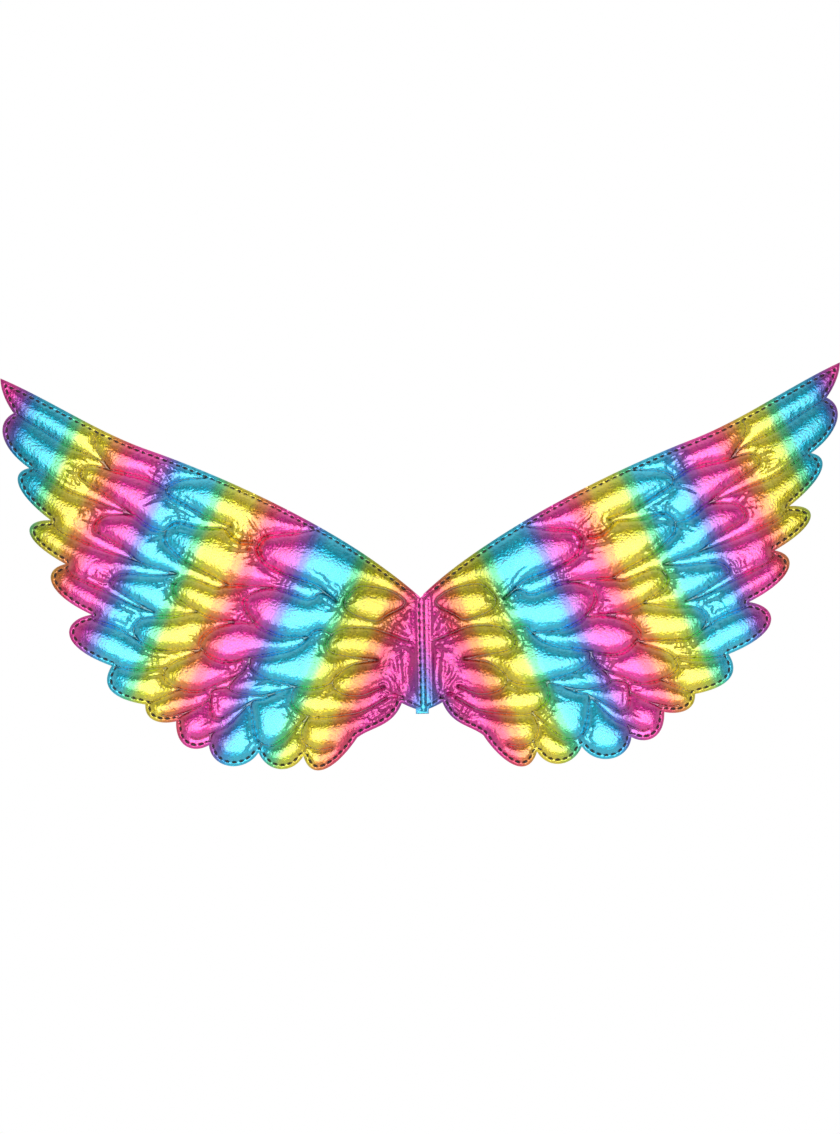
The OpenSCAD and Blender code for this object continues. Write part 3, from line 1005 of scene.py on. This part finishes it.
def padding(word, side, shape, fine, number):
    """Wadding inside a wing: a soft slab that is thin under the quilting."""
    pattern = Pattern(PADDING_STEP, PADDING_START, number)
    tree = Nearest(fine.points).tree
    lowest = []
    for x, y in pattern.points:
        near = tree.find_range((x, y, 0), 3.2)
        inside_cover = tree.find((x, y, 0))[2] < 3
        lowest.append(min(shape[found[1], 1] for found in near) if inside_cover else 0)
    keep = (pattern.edge_distance[pattern.faces] > PADDING_INSET).all(axis=1)
    faces = pattern.faces[keep]
    used, flat = np.unique(faces, return_inverse=True)
    faces = flat.reshape(-1, 3)
    p = pattern.points[used]
    room_inside = np.array(lowest)[used] - PADDING_GAP * MM
    height = np.clip(room_inside - 0.25 * MM * (1 + ripple(p, 5, number)), 0.3 * MM, None)
    x, z = placed(side, p[:, 0] * MM, p[:, 1] * MM), p[:, 1] * MM + NOTCH_Z
    verts = np.vstack([np.column_stack([x, y, z]) for y in (MID_Y - height, MID_Y + BACK_SHARE * height)])
    count = len(p)
    front = faces if side > 0 else faces[:, ::-1]
    edges = {(f[k - 1], f[k]) for f in front.tolist() for k in (0, 1, 2)}
    rim = sorted((a, b) for a, b in edges if (b, a) not in edges)
    all_faces = [tuple(f) for f in front] + [tuple(f[::-1] + count) for f in front]
    all_faces += [(b, a, a + count, b + count) for a, b in rim]
    obj = mesh_object(f"{word}_padding.wadding", verts, all_faces, WADDING, "padding")
    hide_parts(f"{word}_padding")
    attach(obj, f"{word}_wing")
    return obj


def foil_marks(obj, layer):
    """Gives a foil piece at the spine its place in the colour bands, and the painted shade and thinner coat
    that the wings get by the spine and the tips.
    """
    co = np.array([v.co for v in obj.data.vertices])
    across, up = co[:, 0] / MM, (co[:, 2] - NOTCH_Z) / MM
    flat = np.column_stack([across, up, np.full(len(co), float(layer))])
    store(obj, phase=band_phase(np.abs(across), up, 1), flat=flat, crease=FAR, loose=0.2, bright=0)


def finished(obj, *nodes):
    """Ends a piece that stays on the spine."""
    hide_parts(*nodes)
    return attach(obj, "spine")


def centre_seam():
    """The wings' flat margins between the covers."""
    points = outline_points(1)
    near = points[points[:, 0] < seam_high.x / MM]
    inset = np.array((0, 0.5))
    half = np.vstack([near[near[:, 1] > -40] - inset, near[near[:, 1] < -40] + inset])
    other = half[::-1] * (-1, 1)
    loop = np.vstack([half, other[1:-1]]) * MM + (0, NOTCH_Z)
    rings = [[(x, y, z) for x, z in loop] for y in (seam_low.y + 0.1 * MM, seam_high.y - 0.1 * MM)]
    obj = mesh_object("centre_seam.cloth", *loft(rings), FOIL, "foil_fabric", smooth=False)
    foil_marks(obj, 80)
    return finished(obj, "centre_seam")


# The lap's section from its left edge over the front to its fold, and back: (across, height) in mm
LAP_SECTION = [
    (-1.05, 1.4), (-0.98, 1.7), (-0.7, 2.05), (-0.2, 2.35), (0.5, 2.55), (1.2, 2.55), (1.8, 2.35),
    (2.4, 2.05), (2.95, 1.8), (3.35, 1.6), (3.3, 1.42), (1.2, 1.4),
]
# The rows of stitches along the lap as (across, how far sunk) in mm
LAP_ROWS = [(-1.35, 0), (2.65, 0.3)]


def seam_lap():
    """The left wing's edge folded over the seam, pulled in at each stitch."""
    rings = []
    for up in np.linspace(-0.4, -NOTCH_Z * 2 / MM - 0.3, 130):
        place = (up + NOTCH_Z / MM) / STITCH_PITCH
        between = 0.5 - 0.5 * math.cos(2 * math.pi * (place - 0.5))
        sway = 0.25 * uneven(up / 12, 4, 0)
        ring = []
        for across, height in LAP_SECTION:
            left, right = hump(across + 0.8, 0.6), hump(across - 2.6, 0.7)
            shift = -0.45 * between * left + 0.25 * between * right
            grain = 0.12 * uneven(across / 1.2, up / 2.5, 9)
            lift = (0.25 * left + 0.12 * right) * (between - 0.5) + grain if height > 1.5 else 0
            ring.append(((across + shift + sway) * MM, MID_Y - (height + lift) * MM, up * MM + NOTCH_Z))
        rings.append(ring[::-1])
    obj = mesh_object("seam_lap.cloth", *loft(rings), FOIL, "foil_fabric")
    foil_marks(obj, 110)
    return finished(obj, "seam_lap")


def spine_thread(node, paths, facing):
    """A stitch along each path, all on the spine."""
    heap = Heap()
    for path in paths:
        add_stitch(heap, path, facing)
    return finished(heap.build(f"{node}.thread", THREAD, "thread"), node)


def seam_places():
    """The heights along each stitch of a row beside the seam."""
    count = int((2 * NOTCH_Z / MM - 2 * STITCH_INSET) // STITCH_PITCH)
    for n in range(count):
        middle = (n + 0.5 - count / 2) * STITCH_PITCH * MM
        yield middle + np.linspace(-0.5, 0.5, 9) * STITCH_LENGTH * MM


def seam_stitching(front_trees):
    """The two rows of stitches beside and on the lap."""
    paths = []
    for places in seam_places():
        for row, sunk in LAP_ROWS:
            points = []
            for z in places:
                hits = [surface_y(tree, row * MM, z, -1) for tree in front_trees]
                points.append((row * MM, min(y for y in hits if y is not None) + sunk * MM, z))
            paths.append(points)
    return spine_thread("seam_stitching", paths, -1)


def tape_ring(z, half, front, back):
    """A rounded flat section of the tape at height z."""
    ring = []
    for turn in np.linspace(0, 2 * math.pi, 28, endpoint=False):
        across = math.copysign(abs(math.cos(turn)) ** 0.25, math.cos(turn))
        deep = math.copysign(abs(math.sin(turn)) ** 0.5, math.sin(turn))
        wave = 0.06 * MM * uneven(across * 3, z * 400, 3)
        ring.append((across * half, (front + back) / 2 + deep * (back - front) / 2 + wave, z))
    return ring


def seam_tape():
    """The tape down the back of the seam; its end shows below it."""
    rows = []
    for z in np.linspace(tape_high.z, tape_low.z, 90):
        sway = 1 + 0.025 * uneven(z * 60, 2, 0)
        rows.append(tape_ring(z, tape_high.x * sway, tape_low.y, tape_high.y - 0.05 * MM))
    obj = mesh_object("seam_tape.cloth", *loft(rows), FOIL, "foil_tape")
    foil_marks(obj, 140)
    return finished(obj, "seam_tape")


def tape_stitching():
    """The two rows of stitches along the tape."""
    row = tape_high.x - 0.7 * MM
    paths = [[(x, TAPE_FACE_Y, z) for z in places] for places in seam_places() for x in (-row, row)]
    return spine_thread("tape_stitching", paths, 1)


def strap_tacks():
    """Three stitches across each of the four strap ends."""
    places = np.linspace(0.3 * MM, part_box("strap_tacks")[1].x, 9)
    paths = []
    for sign in (-1, 1):
        for level in (-STRAP_Z, STRAP_Z):
            for n in (-1, 0, 1):
                paths.append([(sign * x, TAPE_FACE_Y, level + n * STRAP_WIDTH / 3) for x in places])
    return spine_thread("strap_tacks", paths, 1)


# ---------------------------------------------------------------- straps
STRAP_WIDTH = 20 * MM
STRAP_THICK = 1.3 * MM
STRAP_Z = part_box("strap_ends")[1].z - STRAP_WIDTH / 2
SWING = next(joint for joint in frame["joints"] if joint["name"] == "right_strap_swing")
# The loop's upright plane, turned outwards, and its line there as Bezier pieces of (away, up) in mm
LOOP_ANGLE = math.radians(40)
# How far a sewn end runs under the tape, and the radius at which it turns backwards beside it, in mm
END_LENGTH = 5.2
END_RADIUS = 2.4
LOOP = [
    ((0, 24), (45, 24), (110, 50), (110, -12)),
    ((110, -12), (110, -60), (45, -24), (0, -24)),
]
# The share of the loop over which it turns from upright to level
TWIST_SHARE = 0.3


def strap_line():
    """The strap's points, and its directions across its width, for the right side."""
    axis = np.array(SWING["pos_m"][:2])
    level = (tape_low.y + seam_high.y) / 2
    end = [(t * MM, level) for t in np.linspace(0.4, END_LENGTH, 6)]
    radius = END_RADIUS * MM
    for a in np.radians(np.linspace(8, 70, 7)):
        end.append((END_LENGTH * MM + radius * math.sin(a), level + radius - radius * math.cos(a)))
    turned = np.array(end[-1])
    for t in np.linspace(0.12, 0.92, 7):
        end.append(tuple(turned * (1 - t) + axis * t))
    points = [(x, y, STRAP_Z) for x, y in end]
    wide = [(0, 0, 1)] * len(end)
    away = np.array((math.sin(LOOP_ANGLE), math.cos(LOOP_ANGLE)))
    across = np.array((math.cos(LOOP_ANGLE), -math.sin(LOOP_ANGLE)))
    line = np.vstack([bezier(*LOOP[0], 70), bezier(*LOOP[1], 70)[1:]]) * (MM, STRAP_Z / LOOP[0][0][1])
    slope = directions(line)
    share = along(line) / along(line)[-1]
    turn = math.pi / 2 * smoothstep(0, 1, np.minimum(share, 1 - share) / TWIST_SHARE)
    for (s, z), d, a in zip(line[1:-1], slope[1:-1], turn[1:-1]):
        place = axis + away * (s + MM)
        points.append((place[0], place[1], z))
        side = -d[1] * math.cos(a) * away + math.sin(a) * across
        wide.append((side[0], side[1], d[0] * math.cos(a)))
    points += [(x, y, -STRAP_Z) for x, y in reversed(end)]
    wide += [(0, 0, -1)] * len(end)
    return np.array(points), np.array(wide, float)


def settled(values, rounds):
    """Softens sharp turns in a list of points, keeping its two ends."""
    for _ in range(rounds):
        values[1:-1] = (values[:-2] + 2 * values[1:-1] + values[2:]) / 4
    return values


# Half of the elastic's section, rounded at its edges: (share of the width, share of the thickness)
BAND_SECTION = [
    (-1, 0), (-0.985, 0.75), (-0.93, 1), (-0.8, 0.9), (-0.4, 0.82), (0, 0.8), (0.4, 0.82), (0.8, 0.9),
    (0.93, 1), (0.985, 0.75),
]


def strap(word, side):
    """An elastic loop from one sewn end to the other."""
    line, wide = strap_line()
    line, wide = settled(line, 3), settled(wide, 6)
    slope = directions(line)
    wide -= slope * (wide * slope).sum(axis=1)[:, None]
    wide /= np.linalg.norm(wide, axis=1)[:, None]
    thick = np.cross(slope, wide)
    at = along(line) / MM
    section = BAND_SECTION + [(-w, -t) for w, t in BAND_SECTION]
    rings, weave = [], []
    for point, w, t, place in zip(line, wide, thick, at):
        rings.append([point + w * a * STRAP_WIDTH / 2 + t * b * STRAP_THICK / 2 for a, b in section])
        weave += [(a * STRAP_WIDTH / MM / 2, place, b) for a, b in section]
    verts, faces = loft(rings)
    if side < 0:
        verts = verts * (-1, 1, 1)
        faces = [f[::-1] for f in faces]
    obj = mesh_object(f"{word}_strap.elastic", verts, faces, ELASTIC, "elastic")
    store(obj, weave=weave)
    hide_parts(f"{word}_strap", "strap_ends")
    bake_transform(obj)
    return obj


# ---------------------------------------------------------------- the wings
# The covers' mesh size in mm, then each wing's side, name, inner edge, flat part's end and seed
STEP = 1.2
WINGS = [(1, "right", 2.2, 8.2, 3), (-1, "left", 0.3, 3.6, 8)]
FOIL = foil_material()
THREAD = thread_material()
WADDING = wadding_material()
ELASTIC = elastic_material()
room()
photo_camera()

front_trees = []
for side, word, inner, flat_x, seed in WINGS:
    pattern = Pattern(STEP, inner, seed)
    shape, reads = puffed(pattern, flat_x, seed)
    padding(word, side, shape, pattern, seed + 20)
    trees = []
    for facing, face in ((-1, "front"), (1, "back")):
        piece = cover(f"{word}_{face}_cover.cloth", pattern, shape, reads, side, facing)
        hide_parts(f"{word}_{face}_cover")
        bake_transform(piece)
        trees.append((facing, tree_of(piece)))
    edge_stitching(word, side, trees)
    strap(word, side)
    front_trees.append(trees[0][1])

centre_seam()
front_trees.append(tree_of(seam_lap()))
seam_stitching(front_trees)
seam_tape()
tape_stitching()
strap_tacks()
